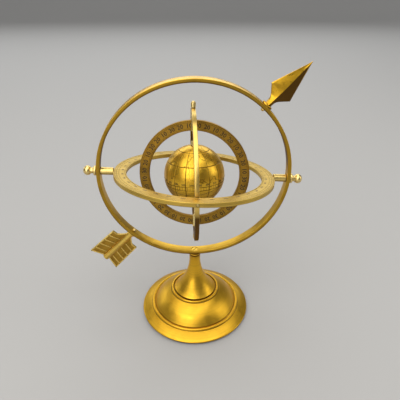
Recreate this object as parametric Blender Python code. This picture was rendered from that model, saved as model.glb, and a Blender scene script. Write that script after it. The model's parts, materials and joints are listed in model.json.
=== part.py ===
"""Brass armillary sphere on a turned foot.

The outer ring is fixed to the foot and carries an arrow in two halves. Inside it the
rings form a gimbal: the horizon ring turns on two rods, the meridian ring turns in the
horizon ring on two pivot screws, and the zodiac ring and the globe turn on the polar pin.

Origin at the centre of the underside, +Z up, -Y is the front, metres.
"""
import math

import bmesh
import bpy
from mathutils import Matrix, Vector

MM = 0.001
GAP = 0.3 * MM                       # clearance left wherever two pieces meet

# Driving dimensions
CENTRE_HEIGHT = 183.0 * MM           # centre of the sphere above the table
OUTER_RADIUS = 100.0 * MM
OUTER_THICKNESS = 3.8 * MM
OUTER_WIDTH = 10.4 * MM
HORIZON_RADIUS = 82.5 * MM
HORIZON_BORE = 69.6 * MM
HORIZON_THICKNESS = 4.3 * MM
MERIDIAN_RADIUS = 68.5 * MM
MERIDIAN_BORE = 59.0 * MM
MERIDIAN_THICKNESS = 4.1 * MM
ZODIAC_RADIUS = 56.8 * MM
ZODIAC_BORE = 46.4 * MM
ZODIAC_THICKNESS = 4.0 * MM
GLOBE_RADIUS = 31.2 * MM
GLOBE_WALL = 1.6 * MM
BASE_RADIUS = 64.2 * MM
FELT_THICKNESS = 1.5 * MM
STEM_NECK_RADIUS = 6.2 * MM
STEM_FOOT_RADIUS = 24.3 * MM

# How the rings stand at rest
PIVOT_LINE_DROP = math.radians(3.6)  # the rods' line falls to the right by this much
HORIZON_TILT = math.radians(8.4)     # the horizon ring's front is up by this much
MERIDIAN_LEAN = math.radians(3.9)    # the polar pin leans back to upright by this much
ZODIAC_TURN = math.radians(5.0)
GLOBE_TURN = math.radians(-10.0)
HEAD_ANGLE = math.radians(46.3)      # the arrow's two halves, from level in the ring's plane
TAIL_ANGLE = math.radians(225.6)

# Pins, screws and their holes
PIN_RADIUS = 1.0 * MM
ROD_RADIUS = 3.9 * MM
ROD_INNER_SPIGOT = 1.1 * MM
ROD_OUTER_SPIGOT = 1.4 * MM
ARROW_SCREW_RADIUS = 1.2 * MM
PIVOT_SCREW_RADIUS = 0.8 * MM
RING_SCREW_RADIUS = 1.8 * MM
BOLT_RADIUS = 3.0 * MM
ZODIAC_BOSS_RADIUS = 2.9 * MM
OUTER_BORE = OUTER_RADIUS - OUTER_THICKNESS

RING_STEPS = 96
TURNED_STEPS = 48
SMALL_STEPS = 16


# ---------------------------------------------------------------- tools

def clear_scene():
    for thing in list(bpy.data.objects):
        bpy.data.objects.remove(thing, do_unlink=True)


def finish_material(name, colour, roughness, metallic):
    made = bpy.data.materials.new(name)
    made.use_nodes = True
    shader = made.node_tree.nodes["Principled BSDF"]
    shader.inputs["Base Color"].default_value = (*colour, 1.0)
    shader.inputs["Roughness"].default_value = roughness
    shader.inputs["Metallic"].default_value = metallic
    made.diffuse_color = (*colour, 1.0)
    return made


def frame(name, matrix, parent=None):
    """An empty on a joint's axis, which the pieces of one body hang from."""
    empty = bpy.data.objects.new(name, None)
    bpy.context.scene.collection.objects.link(empty)
    empty.parent = parent
    empty.matrix_local = matrix
    return empty


def piece(name, mesh, parent, finish, matrix=None):
    mesh.shade_smooth()
    mesh.set_sharp_from_angle(angle=math.radians(35))
    mesh.materials.append(finish)
    made = bpy.data.objects.new(name, mesh)
    bpy.context.scene.collection.objects.link(made)
    made.parent = parent
    made.matrix_local = matrix or Matrix.Identity(4)
    return made


def mesh_from(bm, name):
    bmesh.ops.recalc_face_normals(bm, faces=bm.faces)
    mesh = bpy.data.meshes.new(name)
    bm.to_mesh(mesh)
    bm.free()
    return mesh


def turned_mesh(name, outline, steps=SMALL_STEPS):
    """Spin an outline of (radius, height) points about Z.

    An outline whose ends lie on the axis is spun as it is; any other one is closed first.
    """
    bm = bmesh.new()
    points = [bm.verts.new((radius, 0, height)) for radius, height in outline]
    edges = [bm.edges.new(pair) for pair in zip(points, points[1:])]
    if outline[0][0] > 0 and outline[-1][0] > 0:
        edges.append(bm.edges.new((points[-1], points[0])))
    bmesh.ops.spin(bm, geom=points + edges, cent=(0, 0, 0), axis=(0, 0, 1),
                   angle=math.tau, steps=steps, use_merge=True)
    bmesh.ops.remove_doubles(bm, verts=bm.verts, dist=1e-7)
    return mesh_from(bm, name)


def ring_mesh(name, radius, bore, width):
    half = width / 2
    outline = [(bore, -half), (radius, -half), (radius, half), (bore, half)]
    return turned_mesh(name, outline, RING_STEPS)


def tube_outline(bore, radius, low, high):
    return [(bore, low), (radius, low), (radius, high), (bore, high)]


def boolean(target, mesh, operation, matrix=None):
    """Join or cut a shape given in the target's parent frame."""
    tool = bpy.data.objects.new(f"{target.name}_tool_{len(target.modifiers)}", mesh)
    bpy.context.scene.collection.objects.link(tool)
    tool.parent = target.parent
    tool.matrix_local = target.matrix_basis if matrix is None else matrix
    tool.hide_render = True
    tool.display_type = "WIRE"
    change = target.modifiers.new(operation.lower(), "BOOLEAN")
    change.operation = operation
    change.object = tool


def drill(target, radius, start, end, matrix=None):
    """Cut a round hole from start to end, points in the target's parent frame.

    The cutter is turned half a step, so that its corners miss the seams of the rings.
    """
    start, end = Vector(start), Vector(end)
    length = (end - start).length
    turn = ((end - start).to_track_quat("Z", "Y").to_matrix().to_4x4()
            @ Matrix.Rotation(math.pi / SMALL_STEPS, 4, "Z"))
    bm = bmesh.new()
    bmesh.ops.create_cone(bm, cap_ends=True, segments=SMALL_STEPS, radius1=radius,
                          radius2=radius, depth=length,
                          matrix=Matrix.Translation((start + end) / 2) @ turn)
    boolean(target, mesh_from(bm, f"{target.name}_drill"), "DIFFERENCE",
            matrix or Matrix.Identity(4))


def arc(centre, radius, first, last, count):
    """Points (r, z) on an arc, with angles in degrees from the +r direction."""
    points = []
    for i in range(count + 1):
        angle = math.radians(first + (last - first) * i / count)
        points.append((centre[0] + radius * math.cos(angle),
                       centre[1] + radius * math.sin(angle)))
    return points


# ---------------------------------------------------------------- stand

FOOT_SEAT = 30.0 * MM                # the level the stem stands on
FOOT_WALL = 3.0 * MM
RIM_ROUND = 1.2 * MM
BEAD_RADIUS, BEAD_HEIGHT, BEAD_ROUND = 51.2 * MM, 10.0 * MM, 1.7 * MM
DOME_BULGE = 1.8 * MM
LIP_RADIUS, LIP_ROUND = 27.0 * MM, 1.4 * MM
SKIRT_INSIDE = 57.0 * MM             # the hollow's radius at the bottom
PAD_RADIUS = 60.0 * MM

STEM_TOP = CENTRE_HEIGHT - OUTER_RADIUS - GAP
STEM_FLARE_TOP = 75.0 * MM
STEM_FOOT_EDGE = 1.2 * MM            # height of the stem's straight bottom edge
STEM_CAP_REACH, STEM_CAP_HEIGHT = 0.6 * MM, 2.2 * MM
BOLT_HOLE_END = 60.0 * MM
RING_SCREW_HOLE_END = 66.0 * MM

WASHER_RADIUS, WASHER_THICKNESS = 9.0 * MM, 1.2 * MM
BOLT_HEAD_RADIUS, BOLT_HEAD_HEIGHT = 5.8 * MM, 4.0 * MM


def foot_outline():
    """Rim, raised bead, swelling dome, lip and seat, then back down the hollow inside."""
    low = FELT_THICKNESS + GAP
    rim = arc((BASE_RADIUS - RIM_ROUND, low + RIM_ROUND), RIM_ROUND, -90, 66, 4)
    ledge = [(BEAD_RADIUS + BEAD_ROUND + GAP, BEAD_HEIGHT - BEAD_ROUND / 2)]
    bead = arc((BEAD_RADIUS, BEAD_HEIGHT), BEAD_ROUND, -20, 140, 4)
    dome_start = Vector((BEAD_RADIUS - 1.35 * BEAD_ROUND, BEAD_HEIGHT + 0.6 * BEAD_ROUND))
    dome_end = Vector((LIP_RADIUS + LIP_ROUND, FOOT_SEAT - 0.7 * LIP_ROUND))
    inwards = Vector((dome_start.y - dome_end.y, dome_end.x - dome_start.x)).normalized()
    dome = []
    for i in range(6):
        t = i / 5
        point = dome_start.lerp(dome_end, t) - inwards * DOME_BULGE * math.sin(math.pi * t)
        dome.append(tuple(point))
    lip = arc((LIP_RADIUS, FOOT_SEAT), LIP_ROUND, 10, 170, 4)
    bore = BOLT_RADIUS + GAP
    seat = [(lip[-1][0], FOOT_SEAT), (bore, FOOT_SEAT), (bore, FOOT_SEAT - FOOT_WALL)]
    hollow = [tuple(dome_end + inwards * FOOT_WALL), tuple(dome_start + inwards * FOOT_WALL),
              (SKIRT_INSIDE - 1 * MM, low + RIM_ROUND), (SKIRT_INSIDE, low)]
    return rim + ledge + bead + dome + lip + seat + hollow


def stem_outline():
    """A slender neck that flares out in one arc to the foot; blind holes at both ends."""
    low = FOOT_SEAT + GAP
    flare_bottom = low + STEM_FOOT_EDGE
    spread = STEM_FOOT_RADIUS - STEM_NECK_RADIUS
    drop = STEM_FLARE_TOP - flare_bottom
    sweep = 2 * math.atan2(spread, drop)
    radius = drop / math.sin(sweep)
    flare = arc((STEM_NECK_RADIUS + radius, STEM_FLARE_TOP), radius,
                180 + math.degrees(sweep), 180, 8)
    cap = [(STEM_NECK_RADIUS, STEM_TOP - STEM_CAP_HEIGHT),
           (STEM_NECK_RADIUS + STEM_CAP_REACH, STEM_TOP - STEM_CAP_HEIGHT / 2),
           (STEM_NECK_RADIUS + STEM_CAP_REACH, STEM_TOP)]
    bolt_hole = BOLT_RADIUS + GAP
    screw_hole = RING_SCREW_RADIUS + GAP
    return ([(0, BOLT_HOLE_END), (bolt_hole, BOLT_HOLE_END), (bolt_hole, low),
             (STEM_FOOT_RADIUS, low)] + flare + cap
            + [(screw_hole, STEM_TOP), (screw_hole, RING_SCREW_HOLE_END),
               (0, RING_SCREW_HOLE_END)])


def make_base(parent, brass, steel, felt):
    pad = tube_outline(0, PAD_RADIUS, 0, FELT_THICKNESS)
    piece("felt_pad", turned_mesh("felt_pad", pad, TURNED_STEPS), parent, felt)
    piece("base_foot", turned_mesh("base_foot", foot_outline(), TURNED_STEPS), parent, brass)
    piece("base_stem", turned_mesh("base_stem", stem_outline(), TURNED_STEPS), parent, brass)
    washer_high = FOOT_SEAT - FOOT_WALL - GAP
    washer = tube_outline(BOLT_RADIUS + GAP, WASHER_RADIUS, washer_high - WASHER_THICKNESS,
                          washer_high)
    piece("base_washer", turned_mesh("base_washer", washer), parent, steel)
    head_high = washer_high - WASHER_THICKNESS - GAP
    shank = tube_outline(0, BOLT_RADIUS, head_high - BOLT_HEAD_HEIGHT / 2,
                         BOLT_HOLE_END - 2 * MM)
    bolt = piece("base_bolt", turned_mesh("base_bolt", shank), parent, steel)
    head = tube_outline(0, BOLT_HEAD_RADIUS, head_high - BOLT_HEAD_HEIGHT, head_high)
    boolean(bolt, turned_mesh("base_bolt_head", head, 6), "UNION")


# ---------------------------------------------------------------- outer ring and arrow

SINK_RADIUS, SINK_HEAD_RADIUS, SINK_DEPTH = 3.9 * MM, 3.5 * MM, 1.9 * MM
RING_SCREW_LENGTH = 14.0 * MM        # how far the ring's screw reaches into the stem

DOME_RADIUS, DOME_HEIGHT = 2.1 * MM, 2.4 * MM    # the arrow screws' round heads
FLANGE_LOW = OUTER_RADIUS + GAP
FLANGE_HIGH = FLANGE_LOW + 1.7 * MM
FLANGE_REACH = (5.8 * MM, 4.1 * MM)  # along the ring and across it
ARROW_HOLE_END = 109.0 * MM

# The arrow's two halves, as distances from the sphere's centre
HEAD_START, HEAD_BARB, HEAD_TIP = 101.0 * MM, 118.2 * MM, 156.6 * MM
HEAD_NECK_RADIUS, HEAD_HALF_WIDTH = 3.0 * MM, 13.2 * MM
HEAD_NECK_BLEND = 1.0 * MM
HEAD_RIDGE, HEAD_EDGE = 3.8 * MM, 0.6 * MM       # half thicknesses at the barbs
SHAFT_RADIUS = 3.8 * MM              # the tail half is one thick round shaft
SHAFT_END = 147.0 * MM
VANE_THICKNESS = 2.0 * MM
VANE_FRONT, VANE_FRONT_CORNER, VANE_REAR_CORNER = 103.2 * MM, 112.2 * MM, 150.8 * MM
VANE_SWEPT_SHARE = 0.6       # how far out a vane's front edge runs before it is level
VANE_FRONT_REACH, VANE_REAR_REACH = 17.0 * MM, 18.4 * MM


def along(angle, distance):
    """A point in the outer ring's plane, angle measured from level."""
    return Vector((math.cos(angle) * distance, 0, math.sin(angle) * distance))


def make_outer_ring(parent, brass, bright):
    upright = Matrix.Rotation(math.pi / 2, 4, "X")
    mesh = ring_mesh("outer_ring", OUTER_RADIUS, OUTER_BORE, OUTER_WIDTH)
    ring = piece("outer_ring", mesh, parent, brass, upright)
    inside, outside = OUTER_BORE - 1 * MM, OUTER_RADIUS + 1 * MM
    holes = ((-PIVOT_LINE_DROP, ROD_OUTER_SPIGOT), (math.pi - PIVOT_LINE_DROP, ROD_OUTER_SPIGOT),
             (HEAD_ANGLE, ARROW_SCREW_RADIUS), (TAIL_ANGLE, ARROW_SCREW_RADIUS))
    for angle, radius in holes:
        drill(ring, radius + GAP, along(angle, inside), along(angle, outside))
    head_level = -(OUTER_BORE + GAP)
    sink_end = head_level - SINK_DEPTH
    hole = RING_SCREW_RADIUS + GAP
    sink = [(0, -inside), (SINK_RADIUS, -inside), (SINK_RADIUS, head_level), (hole, sink_end),
            (hole, -outside), (0, -outside)]
    boolean(ring, turned_mesh("outer_ring_sink", sink), "DIFFERENCE", Matrix.Identity(4))
    screw_end = -(OUTER_RADIUS + RING_SCREW_LENGTH)
    screw = [(0, head_level), (SINK_HEAD_RADIUS, head_level), (RING_SCREW_RADIUS, sink_end),
             (RING_SCREW_RADIUS, screw_end), (0, screw_end)]
    piece("ring_screw", turned_mesh("ring_screw", screw), parent, bright)


def arrowhead_half_width(distance):
    """The neck, which runs into the straight trailing edge, and then the point."""
    if distance > HEAD_BARB:
        share = (HEAD_TIP - distance) / (HEAD_TIP - HEAD_BARB)
        return max(HEAD_HALF_WIDTH * share, GAP)
    past_neck = (HEAD_HALF_WIDTH - HEAD_NECK_RADIUS - (HEAD_BARB - distance)) / HEAD_NECK_BLEND
    return HEAD_NECK_RADIUS + HEAD_NECK_BLEND * math.log1p(math.exp(past_neck))


def arrowhead_stations():
    """Sections (height, half width, edge depth, ridge depth) from the flange to the tip."""
    swell_start = HEAD_START + 6.5 * MM
    heights = [HEAD_START, HEAD_START + 2.5 * MM, HEAD_START + 5 * MM, swell_start]
    heights += [swell_start + (HEAD_BARB - swell_start) * share for share in (0.15, 0.35, 0.6)]
    heights += [HEAD_BARB, (HEAD_BARB + HEAD_TIP) / 2, HEAD_TIP]
    stations = []
    for height in heights:
        if height < HEAD_BARB:
            share = (height - HEAD_START) / (HEAD_BARB - HEAD_START)
            ridge = HEAD_NECK_RADIUS + (HEAD_RIDGE - HEAD_NECK_RADIUS) * share
        else:
            share = (HEAD_TIP - height) / (HEAD_TIP - HEAD_BARB)
            ridge = GAP + (HEAD_RIDGE - GAP) * share
        edge = HEAD_NECK_RADIUS * 0.6 if height < swell_start else min(HEAD_EDGE, 0.6 * ridge)
        stations.append((height, arrowhead_half_width(height), edge, ridge))
    return stations


def loft(name, stations):
    """Join six-sided sections (height, half width, edge depth, ridge depth) along Z."""
    bm = bmesh.new()
    loops = []
    for height, width, edge, ridge in stations:
        section = [(width, edge), (0, ridge), (-width, edge),
                   (-width, -edge), (0, -ridge), (width, -edge)]
        loops.append([bm.verts.new((x, y, height)) for x, y in section])
    bm.faces.new(loops[0])
    bm.faces.new(loops[-1])
    for low, high in zip(loops, loops[1:]):
        for i in range(6):
            j = (i + 1) % 6
            bm.faces.new((low[i], low[j], high[j], high[i]))
    return mesh_from(bm, name)


def saddle_mesh(name):
    """The flat oval foot that each half of the arrow stands on the ring with."""
    bm = bmesh.new()
    bmesh.ops.create_cone(bm, cap_ends=True, segments=SMALL_STEPS, radius1=1, radius2=1,
                          depth=FLANGE_HIGH - FLANGE_LOW)
    bmesh.ops.scale(bm, vec=(*FLANGE_REACH, 1), verts=bm.verts)
    bmesh.ops.translate(bm, vec=(0, 0, (FLANGE_LOW + FLANGE_HIGH) / 2), verts=bm.verts)
    return mesh_from(bm, name)


def screw_outline():
    """A round-headed screw: dome inside the ring, shank outwards into the arrow."""
    seat = OUTER_BORE - GAP
    dome = [(DOME_RADIUS * math.cos(a), seat - DOME_HEIGHT * math.sin(a))
            for a in (math.pi / 2 * i / 4 for i in range(5))]
    return [(0, dome[-1][1])] + dome[-2::-1] + [
        (ARROW_SCREW_RADIUS, seat), (ARROW_SCREW_RADIUS, ARROW_HOLE_END - 1 * MM),
        (0, ARROW_HOLE_END - 1 * MM)]


def vane_front(share):
    """A vane's front edge: swept back from the shaft, then level out to its corner."""
    left = 1 - min(share / VANE_SWEPT_SHARE, 1)
    return VANE_FRONT + (VANE_FRONT_CORNER - VANE_FRONT) * (1 - left ** 1.3)


def vane_pair_mesh(name):
    """Two opposite feathers in one flat plate, swept back, with hollow front edges."""
    root = SHAFT_RADIUS / 2
    front = [(root + (VANE_FRONT_REACH - root) * t, vane_front(t))
             for t in (i / 10 for i in range(11))]
    one_side = front + [(VANE_REAR_REACH, VANE_REAR_CORNER), (root, SHAFT_END - VANE_THICKNESS)]
    outline = one_side + [(-x, z) for x, z in reversed(one_side)]
    bm = bmesh.new()
    near = [bm.verts.new((x, -VANE_THICKNESS / 2, z)) for x, z in outline]
    face = bm.faces.new(near)
    grown = bmesh.ops.extrude_face_region(bm, geom=[face])["geom"]
    moved = [item for item in grown if isinstance(item, bmesh.types.BMVert)]
    bmesh.ops.translate(bm, vec=(0, VANE_THICKNESS, 0), verts=moved)
    return mesh_from(bm, name)


def make_arrow(parent, brass, bright):
    forward = Matrix.Rotation(math.pi / 2 - HEAD_ANGLE, 4, "Y")
    backward = Matrix.Rotation(math.pi / 2 - TAIL_ANGLE, 4, "Y")
    head = piece("arrowhead", loft("arrowhead", arrowhead_stations()), parent, brass, forward)
    boolean(head, saddle_mesh("arrowhead_saddle"), "UNION")
    shaft = turned_mesh("arrow_fletching", tube_outline(0, SHAFT_RADIUS, HEAD_START, SHAFT_END))
    tail = piece("arrow_fletching", shaft, parent, brass, backward)
    boolean(tail, saddle_mesh("fletching_saddle"), "UNION")
    boolean(tail, vane_pair_mesh("vanes"), "UNION", backward)
    for half, matrix, label in ((head, forward, "arrowhead_screw"),
                                (tail, backward, "fletching_screw")):
        drill(half, ARROW_SCREW_RADIUS + GAP, (0, 0, FLANGE_LOW - 1 * MM),
              (0, 0, ARROW_HOLE_END), matrix)
        piece(label, turned_mesh(label, screw_outline()), parent, bright, matrix)


# ---------------------------------------------------------------- horizon ring and its rods

ROD_INNER_END = 78.0 * MM
ROD_OUTER_END = 104.2 * MM
COLLAR_RADIUS, COLLAR_LENGTH = 5.1 * MM, 2.3 * MM
WAIST_RADIUS, WAIST_LENGTH = 3.1 * MM, 1.6 * MM
BALL_RADIUS, BALL_HALF_LENGTH = 5.0 * MM, 4.4 * MM
BALL_CENTRE = 109.0 * MM
SWING_HEAD_RADIUS = 1.3 * MM         # the swing screws' heads, sunk in the ring's edge
SWING_HEAD_IN, SWING_HEAD_OUT = HORIZON_RADIUS - 1.7 * MM, HORIZON_RADIUS - 0.1 * MM
SWING_SCREW_TIP = MERIDIAN_BORE + 3.5 * MM


def rod_outline():
    """A rod between the two rings, with a thin end in each of them."""
    shoulder_in = HORIZON_RADIUS + GAP
    shoulder_out = OUTER_BORE - GAP
    return [(0, ROD_INNER_END), (ROD_INNER_SPIGOT, ROD_INNER_END),
            (ROD_INNER_SPIGOT, shoulder_in), (ROD_RADIUS, shoulder_in),
            (ROD_RADIUS, shoulder_out), (ROD_OUTER_SPIGOT, shoulder_out),
            (ROD_OUTER_SPIGOT, ROD_OUTER_END), (0, ROD_OUTER_END)]


def finial_outline():
    """Collar against the outer ring, waist, and a slightly flattened ball."""
    bore, bore_end = ROD_OUTER_SPIGOT + GAP, ROD_OUTER_END + GAP
    start = OUTER_RADIUS + GAP
    collar_end = start + COLLAR_LENGTH
    ball = [(BALL_RADIUS * math.cos(a), BALL_CENTRE + BALL_HALF_LENGTH * math.sin(a))
            for a in (math.radians(-50 + 140 * i / 8) for i in range(8))]
    return [(0, bore_end), (bore, bore_end), (bore, start), (COLLAR_RADIUS - GAP, start),
            (COLLAR_RADIUS, start + GAP), (COLLAR_RADIUS, collar_end - 2 * GAP),
            (COLLAR_RADIUS - 2 * GAP, collar_end), (WAIST_RADIUS + GAP, collar_end + 2 * GAP),
            (WAIST_RADIUS, collar_end + WAIST_LENGTH)] + ball + [
                (0, BALL_CENTRE + BALL_HALF_LENGTH)]


def swing_screw_outline():
    return [(0, SWING_SCREW_TIP), (PIVOT_SCREW_RADIUS, SWING_SCREW_TIP),
            (PIVOT_SCREW_RADIUS, SWING_HEAD_IN), (SWING_HEAD_RADIUS, SWING_HEAD_IN),
            (SWING_HEAD_RADIUS, SWING_HEAD_OUT), (0, SWING_HEAD_OUT)]


def make_horizon(parent, pale, brass, bright):
    mesh = ring_mesh("horizon_ring", HORIZON_RADIUS, HORIZON_BORE, HORIZON_THICKNESS)
    ring = piece("horizon_ring", mesh, parent, pale)
    outside = HORIZON_RADIUS + 1 * MM
    for side, word in ((1, "right"), (-1, "left")):
        to_side = Matrix.Rotation(math.pi / 2 * side, 4, "Y")
        drill(ring, ROD_INNER_SPIGOT + GAP, (side * (ROD_INNER_END - GAP), 0, 0),
              (side * outside, 0, 0))
        piece(f"pivot_rod_{word}", turned_mesh(f"pivot_rod_{word}", rod_outline()),
              parent, brass, to_side)
        piece(f"pivot_finial_{word}", turned_mesh(f"pivot_finial_{word}", finial_outline(), 24),
              parent, bright, to_side)
    for side, word in ((-1, "front"), (1, "back")):
        outwards = Matrix.Rotation(-math.pi / 2 * side, 4, "X")
        drill(ring, PIVOT_SCREW_RADIUS + GAP, (0, side * (HORIZON_BORE - 1 * MM), 0),
              (0, side * (SWING_HEAD_IN + 1 * MM), 0))
        drill(ring, SWING_HEAD_RADIUS + GAP, (0, side * (SWING_HEAD_IN - GAP), 0),
              (0, side * outside, 0))
        screw = turned_mesh(f"meridian_pivot_{word}", swing_screw_outline())
        piece(f"meridian_pivot_{word}", screw, parent, bright, outwards)


# ---------------------------------------------------------------- meridian ring and polar pin

NUT_RADIUS, NUT_SIDE, NUT_LENGTH = 2.5 * MM, 4.0 * MM, 6.5 * MM
BUSH_RADIUS, BUSH_FLANGE_RADIUS = 2.3 * MM, 3.4 * MM
BUSH_TOP = GLOBE_RADIUS + 1.4 * MM
GLOBE_COLLAR_RADIUS, GLOBE_COLLAR_LENGTH = 2.6 * MM, 2.6 * MM
PIN_END = MERIDIAN_RADIUS + NUT_SIDE


def nut_outline():
    """A blind acorn nut with a rounded top."""
    hole, seat = PIN_RADIUS + GAP, MERIDIAN_RADIUS + GAP
    crown = arc((0, seat + NUT_SIDE), NUT_RADIUS, 20, 70, 3)
    return [(0, PIN_END + GAP), (hole, PIN_END + GAP), (hole, seat), (NUT_RADIUS - GAP, seat),
            (NUT_RADIUS, seat + GAP), (NUT_RADIUS, seat + NUT_SIDE)] + crown + [
                (0, seat + NUT_LENGTH)]


def make_meridian(parent, brass, bright):
    sideways = Matrix.Rotation(math.pi / 2, 4, "Y")
    mesh = ring_mesh("meridian_ring", MERIDIAN_RADIUS, MERIDIAN_BORE, MERIDIAN_THICKNESS)
    ring = piece("meridian_ring", mesh, parent, brass, sideways)
    hole = PIN_RADIUS + GAP
    inside, outside = MERIDIAN_BORE - 1 * MM, MERIDIAN_RADIUS + 1 * MM
    for side in (1, -1):
        drill(ring, hole, (0, 0, side * inside), (0, 0, side * outside))
        drill(ring, PIVOT_SCREW_RADIUS + GAP, (0, side * (SWING_SCREW_TIP - 2 * GAP), 0),
              (0, side * outside, 0))
    pin = tube_outline(0, PIN_RADIUS, -PIN_END, PIN_END)
    piece("polar_pin", turned_mesh("polar_pin", pin), parent, bright)
    collar = tube_outline(hole, GLOBE_COLLAR_RADIUS, BUSH_TOP + GAP,
                          BUSH_TOP + GAP + GLOBE_COLLAR_LENGTH)
    for flip, word in ((0, "top"), (math.pi, "bottom")):
        matrix = Matrix.Rotation(flip, 4, "X")
        piece(f"polar_nut_{word}", turned_mesh(f"polar_nut_{word}", nut_outline()), parent,
              bright, matrix)
        piece(f"globe_collar_{word}", turned_mesh(f"globe_collar_{word}", collar), parent,
              bright, matrix)


# ---------------------------------------------------------------- zodiac ring and globe

def make_zodiac(parent, engraved):
    """A flat ring with a round boss at each pole, bored for the polar pin."""
    upright = Matrix.Rotation(math.pi / 2, 4, "X")
    mesh = ring_mesh("zodiac_ring", ZODIAC_RADIUS, ZODIAC_BORE, ZODIAC_THICKNESS)
    ring = piece("zodiac_ring", mesh, parent, engraved, upright)
    low, high = ZODIAC_BORE - 2 * GAP, MERIDIAN_BORE - GAP
    boss = tube_outline(0, ZODIAC_BOSS_RADIUS, low, high)
    for flip in (0, math.pi):
        boolean(ring, turned_mesh("zodiac_boss", boss), "UNION",
                Matrix.Rotation(flip, 4, "X"))
    for side in (1, -1):
        drill(ring, PIN_RADIUS + GAP, (0, 0, side * (low - 1 * MM)),
              (0, 0, side * (high + 1 * MM)))


def hemisphere_outline():
    """A shell from just above the equator up to the hole for the pole's bush."""
    hole = BUSH_RADIUS + GAP
    inner_radius = GLOBE_RADIUS - GLOBE_WALL
    rim = GAP / 2
    outer, inner = [], []
    for radius, points, count in ((GLOBE_RADIUS, outer, 9), (inner_radius, inner, 5)):
        first, last = math.asin(rim / radius), math.acos(hole / radius)
        for i in range(count + 1):
            angle = first + (last - first) * i / count
            points.append((radius * math.cos(angle), radius * math.sin(angle)))
    return outer + inner[::-1]


def make_globe(parent, engraved, bright):
    hole = PIN_RADIUS + GAP
    bush_low, flange_low = GLOBE_RADIUS - 2 * GLOBE_WALL, GLOBE_RADIUS + GAP
    bush = [(hole, bush_low), (BUSH_RADIUS, bush_low), (BUSH_RADIUS, flange_low),
            (BUSH_FLANGE_RADIUS, flange_low), (BUSH_FLANGE_RADIUS, BUSH_TOP), (hole, BUSH_TOP)]
    for flip, half, word in ((0, "north", "top"), (math.pi, "south", "bottom")):
        matrix = Matrix.Rotation(flip, 4, "X")
        piece(f"globe_{half}", turned_mesh(f"globe_{half}", hemisphere_outline(), TURNED_STEPS),
              parent, engraved, matrix)
        piece(f"globe_bush_{word}", turned_mesh(f"globe_bush_{word}", bush), parent,
              bright, matrix)


# ---------------------------------------------------------------- assembly

def main():
    clear_scene()
    brass = finish_material("antique_brass", (0.56, 0.36, 0.09), 0.32, 1.0)
    pale = finish_material("pale_brass", (0.70, 0.54, 0.26), 0.38, 1.0)
    engraved = finish_material("engraved_brass", (0.52, 0.33, 0.08), 0.36, 1.0)
    bright = finish_material("polished_brass", (0.76, 0.58, 0.24), 0.22, 1.0)
    steel = finish_material("plated_steel", (0.55, 0.55, 0.55), 0.40, 1.0)
    felt = finish_material("felt", (0.02, 0.05, 0.03), 0.95, 0.0)

    stand = frame("stand_frame", Matrix.Identity(4))
    sphere = frame("sphere_frame", Matrix.Translation((0, 0, CENTRE_HEIGHT)), stand)
    horizon = frame("horizon_frame", Matrix.Rotation(PIVOT_LINE_DROP, 4, "Y")
                    @ Matrix.Rotation(-HORIZON_TILT, 4, "X"), sphere)
    meridian = frame("meridian_frame", Matrix.Rotation(-MERIDIAN_LEAN, 4, "Y"), horizon)
    zodiac = frame("zodiac_frame", Matrix.Rotation(-ZODIAC_TURN, 4, "Z"), meridian)
    globe = frame("globe_frame", Matrix.Rotation(GLOBE_TURN, 4, "Z"), meridian)

    make_base(stand, brass, steel, felt)
    make_outer_ring(sphere, brass, bright)
    make_arrow(sphere, brass, bright)
    make_horizon(horizon, pale, brass, bright)
    make_meridian(meridian, brass, bright)
    make_zodiac(zodiac, engraved)
    make_globe(globe, engraved, bright)


main()
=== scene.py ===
"""Looks of the brass armillary sphere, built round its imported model.

Every turned or flat ring piece is modelled in a frame of its own, with Z on its axis, and
placed by that frame. Lengths are in metres; MM turns millimetres into them.
"""
import json
import math

import bmesh
import bpy
from mathutils import Matrix, Vector


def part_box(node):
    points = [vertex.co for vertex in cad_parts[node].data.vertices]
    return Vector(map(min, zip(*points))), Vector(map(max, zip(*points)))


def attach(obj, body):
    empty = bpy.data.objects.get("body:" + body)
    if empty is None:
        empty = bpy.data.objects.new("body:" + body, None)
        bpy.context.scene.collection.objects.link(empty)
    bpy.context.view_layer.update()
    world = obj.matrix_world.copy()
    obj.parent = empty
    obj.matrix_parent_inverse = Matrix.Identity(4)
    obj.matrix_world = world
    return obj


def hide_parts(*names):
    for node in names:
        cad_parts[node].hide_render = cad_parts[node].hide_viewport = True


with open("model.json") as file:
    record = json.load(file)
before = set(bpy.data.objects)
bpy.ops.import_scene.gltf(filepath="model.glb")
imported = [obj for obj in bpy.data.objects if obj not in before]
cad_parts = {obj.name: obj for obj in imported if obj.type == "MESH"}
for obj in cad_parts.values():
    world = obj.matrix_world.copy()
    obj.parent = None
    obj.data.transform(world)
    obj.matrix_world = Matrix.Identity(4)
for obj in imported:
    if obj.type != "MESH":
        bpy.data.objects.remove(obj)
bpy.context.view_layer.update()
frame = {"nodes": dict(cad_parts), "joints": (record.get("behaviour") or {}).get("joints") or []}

MM = 0.001
STAND, HORIZON, MERIDIAN, ZODIAC, GLOBE = "stand", "horizon", "meridian", "zodiac", "globe"
ZODIAC_TURN = math.radians(5.0)  # the zodiac ring's turn about the polar pin
GLOBE_TURN = math.radians(-10.0)

FINE_STEPS = 288  # steps round the rings and the foot
TURNED_STEPS = 144  # round the stem and the felt
MEDIUM_STEPS = 96
SMALL_STEPS = 48
INLAY_PROUD = 0.03 * MM  # filled engraving stands this much over its surface
INLAY_SUNK = 0.12 * MM  # and goes this deep into it
INLAY_MIDDLE = (INLAY_PROUD - INLAY_SUNK) / 2
SLOT_HALF = 0.3 * MM  # half the width of a screwdriver's slot
DOME_HEIGHT = 2.4 * MM  # the round screw heads inside the outer ring
ECLIPTIC_TILT = math.radians(23.5)


# ---- frames

def joint(name):
    return next(j for j in frame["joints"] if j["name"] == name)


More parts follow.
